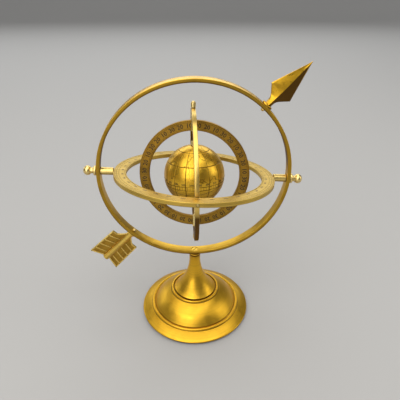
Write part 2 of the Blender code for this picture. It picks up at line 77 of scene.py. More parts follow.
def axes_matrix(x, y, z, origin):
    turn = Matrix((x, y, z)).transposed().to_4x4()
    return Matrix.Translation(origin) @ turn


CENTRE = Vector(joint("horizon_turn")["pos_m"])
ROD_AXIS = Vector(joint("horizon_turn")["axis"]).normalized()
SWING_AXIS = Vector(joint("meridian_swing")["axis"]).normalized()
POLAR_AXIS = Vector(joint("globe_turn")["axis"]).normalized()

STAND_FRAME = Matrix.Identity(4)
# The outer ring's axis points to the front, so that its frame's Y is the world's Z
OUTER_FRAME = Matrix.Translation(CENTRE) @ Matrix.Rotation(math.pi / 2, 4, "X")
HORIZON_FRAME = axes_matrix(ROD_AXIS, SWING_AXIS, ROD_AXIS.cross(SWING_AXIS), CENTRE)
POLAR_FRAME = axes_matrix(SWING_AXIS.cross(POLAR_AXIS), SWING_AXIS, POLAR_AXIS, CENTRE)
MERIDIAN_FRAME = POLAR_FRAME @ Matrix.Rotation(math.pi / 2, 4, "Y")
ZODIAC_FRAME = (POLAR_FRAME @ Matrix.Rotation(-ZODIAC_TURN, 4, "Z")
                @ Matrix.Rotation(math.pi / 2, 4, "X"))
GLOBE_FRAME = POLAR_FRAME @ Matrix.Rotation(GLOBE_TURN, 4, "Z")


def towards(direction, side=Vector((0, 1, 0))):
    """A frame at the sphere's centre with Z along a direction and Y as near to side as can be."""
    z = direction.normalized()
    x = side.cross(z).normalized()
    return axes_matrix(x, z.cross(x), z, CENTRE)


def middle(node):
    low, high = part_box(node)
    return (low + high) / 2


HEAD_FRAME = towards(middle("arrowhead_screw") - CENTRE)
TAIL_FRAME = towards(middle("fletching_screw") - CENTRE)


def reach(node, matrix):
    """Least and greatest radius about a frame's Z, and lowest and highest point along it."""
    inverse = matrix.inverted()
    points = [inverse @ v.co for v in frame["nodes"][node].data.vertices]
    radii = [math.hypot(p.x, p.y) for p in points]
    heights = [p.z for p in points]
    return min(radii), max(radii), min(heights), max(heights)


# ---- materials

class Shader:
    """A material under construction."""

    def __init__(self, name):
        self.material = bpy.data.materials.new(name)
        self.material.use_nodes = True
        self.tree = self.material.node_tree
        self.surface = self.tree.nodes["Principled BSDF"]

    def stored(self, name, output="Vector"):
        """What a mesh has stored at each point under a name."""
        return self.node("Attribute", {"attribute_name": name}).outputs[output]

    def node(self, kind, settings=None, **inputs):
        """A node with its inputs given by name, or by number as i0, i1 and so on."""
        made = self.tree.nodes.new("ShaderNode" + kind)
        for key, value in (settings or {}).items():
            setattr(made, key, value)
        for key, value in inputs.items():
            self.feed(made.inputs[int(key[1:])] if key[0] == "i" and key[1:].isdigit()
                      else made.inputs[key.replace("_", " ")], value)
        return made

    def feed(self, socket, value):
        if isinstance(value, bpy.types.NodeSocket):
            self.tree.links.new(value, socket)
        else:
            socket.default_value = value

    def maths(self, operation, first, second=0.0, clamp=False):
        made = self.node("Math", {"operation": operation, "use_clamp": clamp},
                         i0=first, i1=second)
        return made.outputs[0]

    def times(self, first, second):
        return self.maths("MULTIPLY", first, second)

    def total(self, *terms, clamp=False):
        result = terms[0]
        for term in terms[1:]:
            result = self.maths("ADD", result, term, clamp and term is terms[-1])
        return result

    def noise(self, vector, scale, detail=3.0, roughness=0.5, distortion=0.0):
        made = self.node("TexNoise", Vector=vector, Scale=scale, Detail=detail,
                         Roughness=roughness, Distortion=distortion)
        return made.outputs["Fac"]

    def ramp(self, value, low, high, start=0.0, end=1.0):
        """Go smoothly from start to end while a value goes from low to high."""
        made = self.node("MapRange", {"clamp": True, "interpolation_type": "SMOOTHSTEP"},
                         Value=value, From_Min=low, From_Max=high, To_Min=start, To_Max=end)
        return made.outputs[0]

    def mix(self, share, first, second):
        made = self.node("Mix", {"data_type": "RGBA"}, i0=share, i6=first, i7=second)
        return made.outputs[2]

    def scaled(self, vector, scale):
        made = self.node("VectorMath", {"operation": "MULTIPLY"}, i0=vector, i1=scale)
        return made.outputs[0]

    def bump(self, height, strength=0.3, distance=0.03 * MM):
        made = self.node("Bump", Strength=strength, Distance=distance, Height=height)
        self.set(Normal=made.outputs[0])

    def set(self, **values):
        for key, value in values.items():
            self.feed(self.surface.inputs[key.replace("_", " ")], value)


def colour(red, green, blue):
    return (red, green, blue, 1.0)


def tool_marks(shader, place, grain):
    """Fine and broad marks: rings about the axis, lines along it, or a cast grain."""
    if grain == "turned":
        parts = shader.node("SeparateXYZ", Vector=place).outputs
        radius = shader.maths("SQRT", shader.total(shader.times(parts[0], parts[0]),
                                                   shader.times(parts[1], parts[1])))
        rings = shader.node("CombineXYZ", X=radius, Y=0.0, Z=parts[2]).outputs[0]
        return shader.noise(rings, 2400.0, 2.0, 0.6), shader.noise(rings, 620.0, 2.0, 0.5)
    lines = shader.scaled(place, (1.0, 1.0, 0.12 if grain == "brushed" else 1.0))
    return shader.noise(lines, 2400.0, 2.0, 0.6), shader.noise(lines, 480.0, 3.0, 0.55)


def ageing(shader, place, broad_marks, wear, patina_and_shade_reach, painted_underside_shade):
    """How dark each point is, 0 to 1: tarnish in blotches, patina and painted shade in corners,
    and painted shade on faces that look down.
    """
    blotches = shader.noise(place, 48.0, 4.0, 0.55, 0.4)
    specks = shader.noise(place, 1100.0, 2.0, 0.5)
    # patina in hollows and painted shade: ambient occlusion darkens corners, by up to 0.7
    corner = shader.node("AmbientOcclusion", {"samples": 6}, Distance=patina_and_shade_reach)
    crevice = shader.ramp(corner.outputs["AO"], 0.30, 0.80, 1.0, 0.0)
    # the stored attribute holds tarnish in cuts and hollows, and painted shade on the meridian
    # plate, the arrowhead and the fletching webs
    corners = shader.maths("MAXIMUM", shader.times(crevice, 0.7),
                           shader.stored("stored_tarnish_and_shade", "Fac"))
    normal = shader.node("TexCoord").outputs["Normal"]
    upward = shader.node("SeparateXYZ", Vector=normal).outputs[2]
    return shader.total(corners,
                        shader.ramp(blotches, 0.45, 0.75, 0.0, 0.5 * wear),
                        shader.ramp(specks, 0.64, 0.78, 0.0, 0.5 * wear),
                        shader.ramp(broad_marks, 0.45, 0.75, 0.0, 0.16),
                        # painted shade: faces that look down are darkened, the more so the more
                        # they face down
                        shader.ramp(upward, -0.24, 0.03, painted_underside_shade, 0.0), clamp=True)


# the dark colour that tarnish, patina and painted shade take the brass towards
DARK_BRASS = (0.13, 0.065, 0.012)


def brass(name, light, roughness, dark=DARK_BRASS, grain="turned", anisotropic=0.0,
          wear=0.3, patina_and_shade_reach=3.0 * MM, painted_underside_shade=0.92, engraving=None):
    """Aged brass: tarnished, with patina and painted shade in corners, painted shade underneath,
    rubbed at its edges, with tool marks and smudges.
    """
    shader = Shader(name)
    place = shader.stored("local")
    marks, broad_marks = tool_marks(shader, place, grain)
    smudges = shader.noise(place, 170.0, 4.0, 0.6, 0.8)
    # tarnish, patina and painted shade decide how far the colour goes towards the dark one
    tarnish_and_shade_share = ageing(shader, place, broad_marks, wear, patina_and_shade_reach, painted_underside_shade)
    height = shader.total(shader.times(marks, 0.35), shader.times(broad_marks, 0.4),
                          shader.times(smudges, 0.2))
    if engraving:
        cut = engraving(shader, place)
        tarnish_and_shade_share = shader.maths("MAXIMUM", tarnish_and_shade_share, cut)
        height = shader.maths("SUBTRACT", height, shader.times(cut, 2.5))
    edge = shader.node("NewGeometry").outputs["Pointiness"]
    rubbed = shader.ramp(edge, 0.52, 0.60, 0.0, 0.6)
    pale = (min(1.0, 1.12 * channel + 0.05) for channel in light)
    fresh = shader.mix(rubbed, colour(*light), colour(*pale))
    rough = shader.total(shader.ramp(smudges, 0.3, 0.7, roughness - 0.04, roughness + 0.06),
                         shader.times(tarnish_and_shade_share, 0.18), shader.ramp(marks, 0.3, 0.7, -0.03, 0.04))
    shader.set(Base_Color=shader.mix(tarnish_and_shade_share, fresh, colour(*dark)), Metallic=1.0,
               Roughness=rough)
    shader.bump(height)
    if anisotropic:
        around = shader.node("VectorTransform",
                             {"vector_type": "VECTOR", "convert_from": "OBJECT",
                              "convert_to": "WORLD"}, Vector=shader.stored("spin"))
        shader.set(Anisotropic=anisotropic, Tangent=around.outputs[0])
    return shader.material


def map_engraving(shader, place):
    """Coast lines and shaded land, cut finely into the globe."""
    land = shader.noise(place, 46.0, 5.0, 0.5, 0.3)
    coast = shader.ramp(shader.maths("ABSOLUTE", shader.maths("SUBTRACT", land, 0.5)),
                        0.005, 0.014, 0.65, 0.0)
    shade = shader.ramp(land, 0.50, 0.60, 0.0, 0.12)
    hatch = shader.noise(shader.scaled(place, (1.0, 1.0, 2.4)), 1300.0, 1.0, 0.4)
    hatching = shader.times(shade, shader.ramp(hatch, 0.45, 0.60, 0.0, 1.6))
    relief = shader.noise(place, 260.0, 3.0, 0.6)
    ridges = shader.times(shade, shader.ramp(relief, 0.55, 0.68, 0.0, 1.4))
    return shader.maths("MAXIMUM", coast, shader.total(hatching, ridges), True)


def dull_fill(name, tone, roughness):
    """Dark wax and tarnish left in cut lines and numerals."""
    shader = Shader(name)
    place = shader.stored("local")
    patches = shader.noise(place, 800.0, 4.0, 0.6)
    worn = shader.ramp(patches, 0.48, 0.72, 0.0, 0.55)
    shader.set(Base_Color=shader.mix(worn, tone, colour(0.30, 0.19, 0.05)),
               Metallic=shader.ramp(patches, 0.45, 0.7, 0.25, 0.85),
               Roughness=shader.ramp(patches, 0.3, 0.7, roughness, roughness - 0.15))
    shader.bump(shader.noise(place, 2500.0, 2.0, 0.5), 0.5)
    return shader.material


def felt_cloth(name):
    """Green felt, with matted fibres and paler patches where it has rubbed."""
    shader = Shader(name)
    place = shader.stored("local")
    fibres = shader.noise(shader.scaled(place, (1.0, 1.0, 0.5)), 1700.0, 5.0, 0.7, 1.5)
    patches = shader.noise(place, 160.0, 3.0, 0.5)
    green = shader.mix(shader.ramp(fibres, 0.35, 0.7), colour(0.010, 0.035, 0.018),
                       colour(0.035, 0.085, 0.045))
    shader.set(Base_Color=shader.mix(shader.ramp(patches, 0.4, 0.7, 0.0, 0.35), green,
                                     colour(0.05, 0.07, 0.045)),
               Roughness=shader.ramp(fibres, 0.3, 0.7, 0.85, 1.0), Sheen_Weight=0.4)
    shader.bump(fibres, 0.9, 0.25 * MM)
    return shader.material


def zinc(name):
    """Spangled plate, for CAD nodes, which have no "local" of their own."""
    shader = Shader(name)
    place = shader.node("TexCoord").outputs["Object"]
    crystals = shader.node("TexVoronoi", Vector=place, Scale=900.0).outputs["Distance"]
    patches = shader.noise(place, 250.0, 4.0, 0.6)
    shader.set(Base_Color=shader.mix(shader.ramp(patches, 0.35, 0.7), colour(0.62, 0.63, 0.64),
                                     colour(0.42, 0.42, 0.40)),
               Metallic=1.0, Roughness=shader.ramp(crystals, 0.0, 0.7, 0.28, 0.45))
    shader.bump(crystals)
    return shader.material


TURNED_BRASS = brass("turned_brass", (0.83, 0.475, 0.035), 0.33, anisotropic=0.65, wear=0.15)
RING_BRASS = brass("ring_brass", (0.78, 0.47, 0.045), 0.29, wear=0.4)
CAST_BRASS = brass("cast_brass", (0.77, 0.44, 0.03), 0.30, grain="brushed", wear=0.5)
SHAFT_BRASS = brass("shaft_brass", (0.88, 0.58, 0.10), 0.32, patina_and_shade_reach=1.5 * MM,
                    painted_underside_shade=0.35)
PALE_BRASS = brass("pale_brass", (0.65, 0.44, 0.085), 0.34, (0.20, 0.11, 0.025),
                   anisotropic=0.3, patina_and_shade_reach=1.5 * MM)
ZODIAC_BRASS = brass("zodiac_brass", (0.42, 0.24, 0.033), 0.40, (0.09, 0.045, 0.008),
                     wear=0.9, patina_and_shade_reach=1.5 * MM)
GLOBE_BRASS = brass("globe_brass", (0.85, 0.505, 0.045), 0.32, (0.11, 0.055, 0.008), "cast",
                    wear=0.1, patina_and_shade_reach=1.0 * MM, painted_underside_shade=0.4, engraving=map_engraving)
BRIGHT_BRASS = brass("bright_brass", (0.92, 0.70, 0.27), 0.26, (0.25, 0.14, 0.04), wear=0.2,
                     patina_and_shade_reach=1.0 * MM, painted_underside_shade=0.3)
ROD_BRASS = brass("rod_brass", (0.90, 0.65, 0.20), 0.30, wear=0.2, patina_and_shade_reach=1.5 * MM,
                  painted_underside_shade=0.5)
LIGHT_BRASS = brass("light_brass", (0.86, 0.60, 0.16), 0.31)
# painted highlight and rub wear: the fletching's ribs get a brighter brass than its webs
RUBBED_AND_LIT_BRASS = brass("rubbed_and_lit_brass", (0.96, 0.66, 0.16), 0.28, grain="brushed", wear=0.2,
                     patina_and_shade_reach=0.6 * MM, painted_underside_shade=0.4)
DARK_FILL = dull_fill("dark_fill", colour(0.022, 0.012, 0.004), 0.62)
SOFT_FILL = dull_fill("soft_fill", colour(0.16, 0.09, 0.025), 0.50)
FELT = felt_cloth("green_felt")
ZINC = zinc("zinc_plate")


# ---- modelling tools

def add_object(name, data):
    made = bpy.data.objects.new(name, data)
    bpy.context.scene.collection.objects.link(made)
    return made


def piece(name, bm, matrix, material, body, slot, replaced=(), sharp=32.0):
    """Make an object of a mesh built in its own frame.

    The frame goes into the mesh, so the object stays at the origin. Its materials get each
    point's place in its own frame, "local", and the way round that frame's Z, "spin".
    """
    bmesh.ops.recalc_face_normals(bm, faces=bm.faces)
    local = bm.verts.layers.float_vector.new("local")
    spin = bm.verts.layers.float_vector.new("spin")
    turn = matrix.to_3x3()
    for vertex in bm.verts:
        vertex[local] = vertex.co
        vertex[spin] = turn @ Vector((-vertex.co.y, vertex.co.x, 0)).normalized()
    bm.transform(matrix)
    mesh = mesh_of(bm, name)
    mesh.shade_smooth()
    mesh.set_sharp_from_angle(angle=math.radians(sharp))
    mesh.materials.append(material)
    made = add_object(name, mesh)
    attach(made, body)
    if replaced:
        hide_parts(*replaced)


def bright_piece(name, bm, matrix, body, node):
    """A small polished part that stands for one CAD node."""
    piece(name, bm, matrix, BRIGHT_BRASS, body, "polished_brass", [node])


def round_edges(bm, width):
    """Round the edges between faces that meet at a clear angle."""
    sharp = [edge for edge in bm.edges if len(edge.link_faces) == 2
             and edge.calc_face_angle() > math.radians(35)]
    bmesh.ops.bevel(bm, geom=sharp, offset=width, segments=2, profile=0.5, affect="EDGES",
                    clamp_overlap=True)


def arc(centre, radius, first, last, count):
    """Points (radius, height) on an arc, angles in degrees from the outward direction."""
    points = []
    for i in range(count + 1):
        angle = math.radians(first + (last - first) * i / count)
        points.append((centre[0] + radius * math.cos(angle),
                       centre[1] + radius * math.sin(angle)))
    return points


def turned(outline, steps, closed=False):
    """Spin (radius, height[, tarnish]) points about Z; points on the axis stay single."""
    bm = bmesh.new()
    layer = bm.verts.layers.float.new("stored_tarnish_and_shade")
    rows = []
    for point in outline:
        row = []
        for i in range(1 if point[0] == 0 else steps):
            angle = math.tau * i / steps
            vertex = bm.verts.new((point[0] * math.cos(angle), point[0] * math.sin(angle),
                                   point[1]))
            vertex[layer] = point[2] if len(point) > 2 else 0.0
            row.append(vertex)
        rows.append(row)
    pairs = list(zip(rows, rows[1:])) + ([(rows[-1], rows[0])] if closed else [])
    for low, high in pairs:
        for i in range(steps):
            j = (i + 1) % steps
            corners = [low[i % len(low)], low[j % len(low)],
                       high[j % len(high)], high[i % len(high)]]
            corners = list(dict.fromkeys(corners))
            if len(corners) > 2:
                bm.faces.new(corners)
    return bm


def skin(bm, loops):
    """Faces between each loop of vertices and the next."""
    for low, high in zip(loops, loops[1:]):
        for i in range(len(low)):
            j = (i + 1) % len(low)
            bm.faces.new((low[i], low[j], high[j], high[i]))


def dome_outline(radius, base, height):
    """From a head's rim up over its rounded top."""
    steps = 10
    return [(radius * math.cos(a), base + height * math.sin(a))
            for a in (math.pi / 2 * i / steps for i in range(steps))] + [(0, base + height)]


def barrel(bore, radius, low, high, chamfer):
    """A cylinder's outline, or a tube's, with its outer edges taken off."""
    return [(bore, low), (radius - chamfer, low), (radius, low + chamfer),
            (radius, high - chamfer), (radius - chamfer, high), (bore, high)]


def grooved_line(start, end, height, sign, grooves, half_width, depth):
    """Points from one radius to another on a flat face, with V grooves cut into it."""
    points = []
    for radius in sorted(grooves, reverse=start > end):
        step = half_width if start < end else -half_width
        points += [(radius - step, height), (radius, height - sign * depth, 1.0),
                   (radius + step, height)]
    return points


def ring_outline(bore, radius, low, high, rounding, grooves=(), edge_grooves=(),
                 half_width=0.22 * MM, depth=0.16 * MM, inner_dirt=0.0, face_dirt=0.0):
    """A flat ring's section, with grooves cut in both faces and in its outer edge.

    The bore and the faces carry some tarnish, which the rounded edges have lost.
    """
    out_r, in_r = radius - rounding, bore + rounding

    def corner(radius_at, height_at, first, before, after):
        points = arc((radius_at, height_at), rounding, first, first + 90, 4)
        return [(*points[0], before)] + points[1:-1] + [(*points[-1], after)]

    points = corner(in_r, low + rounding, 180, inner_dirt, face_dirt)
    points += grooved_line(in_r, out_r, low, -1, grooves, half_width, depth)
    points += corner(out_r, low + rounding, 270, face_dirt, 0.0)
    for height in edge_grooves:
        points += [(radius, height - half_width), (radius - depth, height, 1.0),
                   (radius, height + half_width)]
    points += corner(out_r, high - rounding, 0, 0.0, face_dirt)
    points += grooved_line(out_r, in_r, high, 1, grooves, half_width, depth)
    points += corner(in_r, high - rounding, 90, face_dirt, inner_dirt)
    return points


def bar(bm, low, high, matrix):
    """A small box between two corners, placed by a matrix."""
    made = bmesh.ops.create_cube(bm, size=1.0)["verts"]
    size = Vector(high) - Vector(low)
    centre = (Vector(high) + Vector(low)) / 2
    bmesh.ops.transform(bm, verts=made,
                        matrix=matrix @ Matrix.Translation(centre)
                        @ Matrix.Diagonal((*size, 1.0)))


def mesh_of(bm, name):
    """Turn a bmesh into a mesh, and free it."""
    mesh = bpy.data.meshes.new(name)
    bm.to_mesh(mesh)
    bm.free()
    return mesh


def cut_away(bm, cutter):
    """Take one closed mesh out of another, and return what is left."""
    holders = [add_object(name, mesh_of(shape, name))
               for name, shape in (("whole", bm), ("cutter", cutter))]
    change = holders[0].modifiers.new("cut", "BOOLEAN")
    change.operation = "DIFFERENCE"
    change.object = holders[1]
    bpy.context.view_layer.update()
    shape = holders[0].evaluated_get(bpy.context.evaluated_depsgraph_get())
    left = bmesh.new()
    left.from_mesh(shape.data)
    for holder in holders:
        mesh = holder.data
        bpy.data.objects.remove(holder, do_unlink=True)
        bpy.data.meshes.remove(mesh)
    return left


def drill(bm, radius, low, high, matrix):
    """Cut a round recess whose axis is a matrix's Z, and return what is left."""
    bmesh.ops.recalc_face_normals(bm, faces=bm.faces)
    plug = turned([(0, low), (radius, low), (radius, high), (0, high)], SMALL_STEPS)
    bmesh.ops.recalc_face_normals(plug, faces=plug.faces)
    plug.transform(matrix)
    return cut_away(bm, plug)


def slotted(outline, depth, turn):
    """Spin a screw's outline and cut a screwdriver's slot across its head, which faces +Z."""
    bm = turned(outline, SMALL_STEPS)
    bmesh.ops.recalc_face_normals(bm, faces=bm.faces)
    half_length, top = 2 * max(point[0] for point in outline), outline[-1][1]
    slot = bmesh.new()
    bar(slot, (-half_length, -SLOT_HALF, top - depth), (half_length, SLOT_HALF, top + MM),
        Matrix.Rotation(turn, 4, "Z"))
    return cut_away(bm, slot)


def face_matrix(height, back, angle):
    """A place on a ring's face: X out along the radius at an angle, Z out of the face."""
    side = Matrix.Rotation(math.pi, 4, "X") if back else Matrix.Identity(4)
    return side @ Matrix.Rotation(angle, 4, "Z") @ Matrix.Translation((0, 0, height))


def from_rim(rim, *lengths):
    """Spans that all end at one radius, from (every how many steps, length in mm)."""
    return [(every, rim - length * MM, rim) for every, length in lengths]


def add_ticks(bm, height, back, count, width, spans):
    """Radial strokes on a face. spans says (every how many steps, inner, outer radius)."""
    for i in range(count):
        inner, outer = next((low, high) for every, low, high in spans if i % every == 0)
        place = face_matrix(height, back, math.tau * i / count)
        bar(bm, (inner, -width / 2, -INLAY_SUNK), (outer, width / 2, INLAY_PROUD), place)


glyphs = {}


def glyph_mesh(text, size):
    """A numeral from Blender's own font, as a flat solid centred on its middle."""
    if (text, size) not in glyphs:
        curve = bpy.data.curves.new("numeral", "FONT")
        curve.body = text
        curve.size = size
        curve.extrude = (INLAY_PROUD + INLAY_SUNK) / 2
        curve.align_x, curve.align_y = "CENTER", "CENTER"
        curve.offset = 0.022 * size
        curve.resolution_u = 2
        holder = add_object("numeral", curve)
        bpy.context.view_layer.update()
        shape = holder.evaluated_get(bpy.context.evaluated_depsgraph_get())
        glyphs[text, size] = bpy.data.meshes.new_from_object(shape)
        bpy.data.objects.remove(holder, do_unlink=True)
    return glyphs[text, size]


def stamp(bm, text, size, place):
    """Add a numeral to a mesh, with its middle at a place and its face along the place's Z."""
    shape = glyph_mesh(text, size).copy()
    shape.transform(place)
    bm.from_mesh(shape)
    bpy.data.meshes.remove(shape)


def add_text(bm, text, size, radius, height, back, angle, outward):
    """A numeral on a ring's face, its top towards the rim if outward, else the centre."""
    turn = Matrix.Rotation(-math.pi / 2 if outward else math.pi / 2, 4, "Z")
    middle_place = Matrix.Translation((radius, 0, INLAY_MIDDLE))
    stamp(bm, text, size, face_matrix(height, back, angle) @ middle_place @ turn)


def engrave(ring, matrix, height, strokes, labels, size, radius, first, outward, *looks):
    """Fill the cuts of a ring's two faces: its strokes, and 36 numerals from a first angle.

    strokes holds (count, width, spans) for add_ticks. looks is a material, body and slot; the slot
    is not used.
    """
    scale, numbers = bmesh.new(), bmesh.new()
    for back in (False, True):
        for count, width, spans in strokes:
            add_ticks(scale, height, back, count, width, spans)
        for i, label in enumerate(labels):
            add_text(numbers, str(label), size, radius, height, back,
                     math.radians(first + 10 * i), outward)
    piece(f"{ring}_scale", scale, matrix, *looks)
    piece(f"{ring}_numbers", numbers, matrix, *looks)


# ---- stand

def make_foot():
    """Rim, raised bead, swelling dome and lip, turned finely, with the hollow inside."""
    _, radius, low, _ = reach("base_foot", STAND_FRAME)
    seat = reach("base_stem", STAND_FRAME)[2] - 0.3 * MM
    bead_radius, bead_height, bead_round = 51.2 * MM, 10.0 * MM, 1.7 * MM
    lip_radius, lip_round = 27.0 * MM, 1.4 * MM
    rim_round, bulge, wall = 1.2 * MM, 1.8 * MM, 3.0 * MM
    rim = arc((radius - rim_round, low + rim_round), rim_round, -90, 66, 10)
    ledge = [(rim[-1][0] - 1.2 * MM, rim[-1][1] + 0.55 * MM),
             (bead_radius + bead_round + 0.5 * MM, bead_height - bead_round / 2 - 0.1 * MM),
             (bead_radius + bead_round + 0.1 * MM, bead_height - bead_round / 2, 0.9)]
    bead = arc((bead_radius, bead_height), bead_round, -20, 140, 12)
    start = Vector((bead_radius - 1.35 * bead_round, bead_height + 0.6 * bead_round))
    end = Vector((lip_radius + lip_round, seat - 0.7 * lip_round))
    inwards = Vector((start.y - end.y, end.x - start.x)).normalized()
    dome = []
    for share in (i / 24 for i in range(25)):
        point = start.lerp(end, share) - inwards * bulge * math.sin(math.pi * share)
        dome.append((point.x, point.y, 0.9 if share in (0, 1) else 0.0))
    lip = arc((lip_radius, seat), lip_round, 10, 170, 12)
    bore = 3.3 * MM
    inside = [(lip[-1][0], seat, 0.8), (bore, seat), (bore, seat - wall)]
    inside += [tuple(end + inwards * wall), tuple(start + inwards * wall),
               (radius - 8.2 * MM, low + rim_round), (radius - 7.2 * MM, low)]
    outline = rim + ledge + bead + dome + lip + inside
    piece("foot", turned(outline, FINE_STEPS, True), STAND_FRAME, TURNED_BRASS, STAND,
          "antique_brass", ["base_foot"])


def make_stem():
    """A slender neck that flares to the foot, with a thin collar under the ring."""
    _, foot_radius, low, top = reach("base_stem", STAND_FRAME)
    neck, flare_top, edge = 6.2 * MM, 75.0 * MM, 1.2 * MM
    drop = flare_top - low - edge
    sweep = 2 * math.atan2(foot_radius - neck, drop)
    radius = drop / math.sin(sweep)
    flare = arc((neck + radius, flare_top), radius, 180 + math.degrees(sweep), 180, 40)
    cap = [(neck, top - 3.2 * MM), (neck + 0.15 * MM, top - 2.3 * MM),
           (neck + 0.45 * MM, top - 1.5 * MM), (neck + 0.6 * MM, top - 1.1 * MM),
           (neck + 0.6 * MM, top - 0.2 * MM), (neck + 0.4 * MM, top)]
    outline = [(0, low), (foot_radius - 0.3 * MM, low, 0.7), (foot_radius, low + 0.3 * MM),
               (foot_radius, low + edge - 0.3 * MM)] + flare + cap + [(0, top)]
    piece("stem", turned(outline, TURNED_STEPS), STAND_FRAME, TURNED_BRASS, STAND,
          "antique_brass", ["base_stem"])


def make_felt():
    """The soft disc under the foot."""
    _, radius, low, high = reach("felt_pad", STAND_FRAME)
    piece("felt_disc", turned(barrel(0, radius, low, high, 0.3 * MM), TURNED_STEPS),
          STAND_FRAME, FELT, STAND, "felt", ["felt_pad"])


def make_outer_ring():
    """The fixed band, duller on its faces, with a recess for the screw that holds it."""
    bore, radius, low, high = reach("outer_ring", OUTER_FRAME)
    outline = ring_outline(bore, radius, low, high, 0.55 * MM, inner_dirt=0.2,
                           face_dirt=0.42)
    _, head, _, head_top = reach("ring_screw", STAND_FRAME)
    band = drill(turned(outline, FINE_STEPS, True), head + 0.2 * MM, head_top - 1.2 * MM,
                 head_top + 2 * MM, OUTER_FRAME.inverted())
    piece("outer_band", band, OUTER_FRAME, RING_BRASS, STAND, "antique_brass",
          ["outer_ring"])


def saddle(bm, low):
    """The oval flange under each half of the arrow, rounded at its upper edge."""
    along_ring, across, high = 5.8 * MM, 4.1 * MM, low + 1.7 * MM
    outline = [(0, low), (0.97, low), (1.0, low + 0.25 * MM), (1.0, high - 0.5 * MM),
               (0.94, high - 0.12 * MM), (0.86, high), (0, high)]
    oval = turned(outline, SMALL_STEPS)
    for vertex in oval.verts:
        vertex.co.x *= along_ring
        vertex.co.y *= across
    mesh = mesh_of(oval, "saddle")
    bm.from_mesh(mesh)
    bpy.data.meshes.remove(mesh)


BARB = 118.2 * MM  # where the arrowhead is widest
HEAD_NECK, HEAD_RIDGE = 3.0 * MM, 3.8 * MM
HEAD_BEVEL = 1.1 * MM
HEAD_BLEND = 1.0 * MM  # how softly the neck opens into the barbs


def arrowhead_section(height, low, tip, widest):
    """(half width, bevel start, edge depth, ridge depth) of the arrowhead at a height."""
    if height > BARB:
        share = (tip - height) / (tip - BARB)
        width = max(widest * share, 0.15 * MM)
        edge, depth = 0.45 * MM * max(share, 0.3), max(HEAD_RIDGE * share, 0.25 * MM)
        return width, max(width - HEAD_BEVEL, 0.05 * MM), edge, depth
    past = (widest - HEAD_NECK - (BARB - height)) / HEAD_BLEND
    width = HEAD_NECK + HEAD_BLEND * math.log1p(math.exp(past))
    depth = HEAD_NECK + (HEAD_RIDGE - HEAD_NECK) * (height - low) / (BARB - low)
    if width < 1.7 * HEAD_NECK:
        flatness = (width - HEAD_NECK) / (0.7 * HEAD_NECK)
        edge = 0.62 * HEAD_NECK * (1 - flatness) + 0.9 * MM * flatness
        return width, width * 0.93, edge, depth
    return width, width - HEAD_BEVEL, 0.6 * MM, depth


def make_arrowhead():
    """A flat kite with a ridge down both faces, narrow bevels and painted shade on its lower half.
    """
    _, widest, low, tip = reach("arrowhead", HEAD_FRAME)
    neck_low = low + 1.2 * MM
    heights = [neck_low + (BARB - neck_low) * i / 14 for i in range(15)]
    heights += [BARB + (tip - BARB) * i / 8 for i in range(1, 9)]
    bm = bmesh.new()
    tarnish_and_shade_layer = bm.verts.layers.float.new("stored_tarnish_and_shade")
    loops = []
    for height in heights:
        width, inner, edge, ridge = arrowhead_section(height, neck_low, tip, widest)
        rise = edge + (ridge - edge) * 0.16
        near = 0.06 * inner
        half = [(width, 0.35 * edge), (width - 0.12 * MM, edge), (inner, rise),
                (near, ridge - (ridge - rise) * 0.06), (0.0, ridge)]
        ring = half + [(-x, y) for x, y in half[-2::-1]]
        ring += [(-x, -y) for x, y in half] + [(x, -y) for x, y in half[-2::-1]]
        loops.append([bm.verts.new((x, y, height)) for x, y in ring])
        for vertex in loops[-1]:
            # painted shade: the lower half of each face, past the neck, is darkened to 0.8
            shaded_half = near / 2 < vertex.co.x < width - 0.2 * MM
            vertex[tarnish_and_shade_layer] = 0.8 if shaded_half and height > neck_low + 6 * MM else 0.0
    bm.faces.new(loops[0])
    bm.faces.new(loops[-1])
    skin(bm, loops)
    saddle(bm, low)
    piece("arrow_point", bm, HEAD_FRAME, CAST_BRASS, STAND, "antique_brass", ["arrowhead"],
          sharp=14.0)


SHAFT_RADIUS, SHAFT_END = 3.8 * MM, 147.0 * MM
VANE_FRONT, VANE_FRONT_CORNER, VANE_REAR_CORNER = 103.2 * MM, 112.2 * MM, 150.8 * MM
VANE_FRONT_REACH, VANE_REAR_REACH = 17.0 * MM, 18.4 * MM
VANE_ROOT = SHAFT_RADIUS / 2
VANE_SWEPT_SHARE = 0.6
RIB_SWEEP = math.tan(math.radians(17.5))
RIB_WIDTH, RIB_COUNT = 1.7 * MM, 5
RIB_HALF, WEB_HALF = 1.0 * MM, 0.4 * MM


def vane_front(share):
    """The front edge's height: swept back from the shaft, then level out to its corner."""
    left = 1 - min(share / VANE_SWEPT_SHARE, 1)
    return VANE_FRONT + (VANE_FRONT_CORNER - VANE_FRONT) * (1 - left ** 1.3)


def vane_outer(height):
    """How far a vane reaches from the shaft's axis, between its two outer corners."""
    share = (height - VANE_FRONT_CORNER) / (VANE_REAR_CORNER - VANE_FRONT_CORNER)
    return VANE_FRONT_REACH + (VANE_REAR_REACH - VANE_FRONT_REACH) * share


def slab(bm, outline, half_thickness):
    """An outline of (x, z) points, extruded both ways along Y."""
    loops = [[bm.verts.new((x, y, z)) for x, z in outline]
             for y in (-half_thickness, half_thickness)]
    for loop in loops:
        bm.faces.new(loop)
    skin(bm, loops)


def vane_rib(side, height):
    """A raised barb from the outer rim down to the shaft, swept back from it."""
    x_out, x_in = vane_outer(height) - 0.2 * MM, SHAFT_RADIUS + 0.3 * MM
    drop = (x_out - x_in) * RIB_SWEEP
    return [(side * x, z) for x, z in (
        (x_out, height), (x_out, height - RIB_WIDTH),
        (x_in, height - drop - 0.6 * RIB_WIDTH), (x_in, height - drop))]


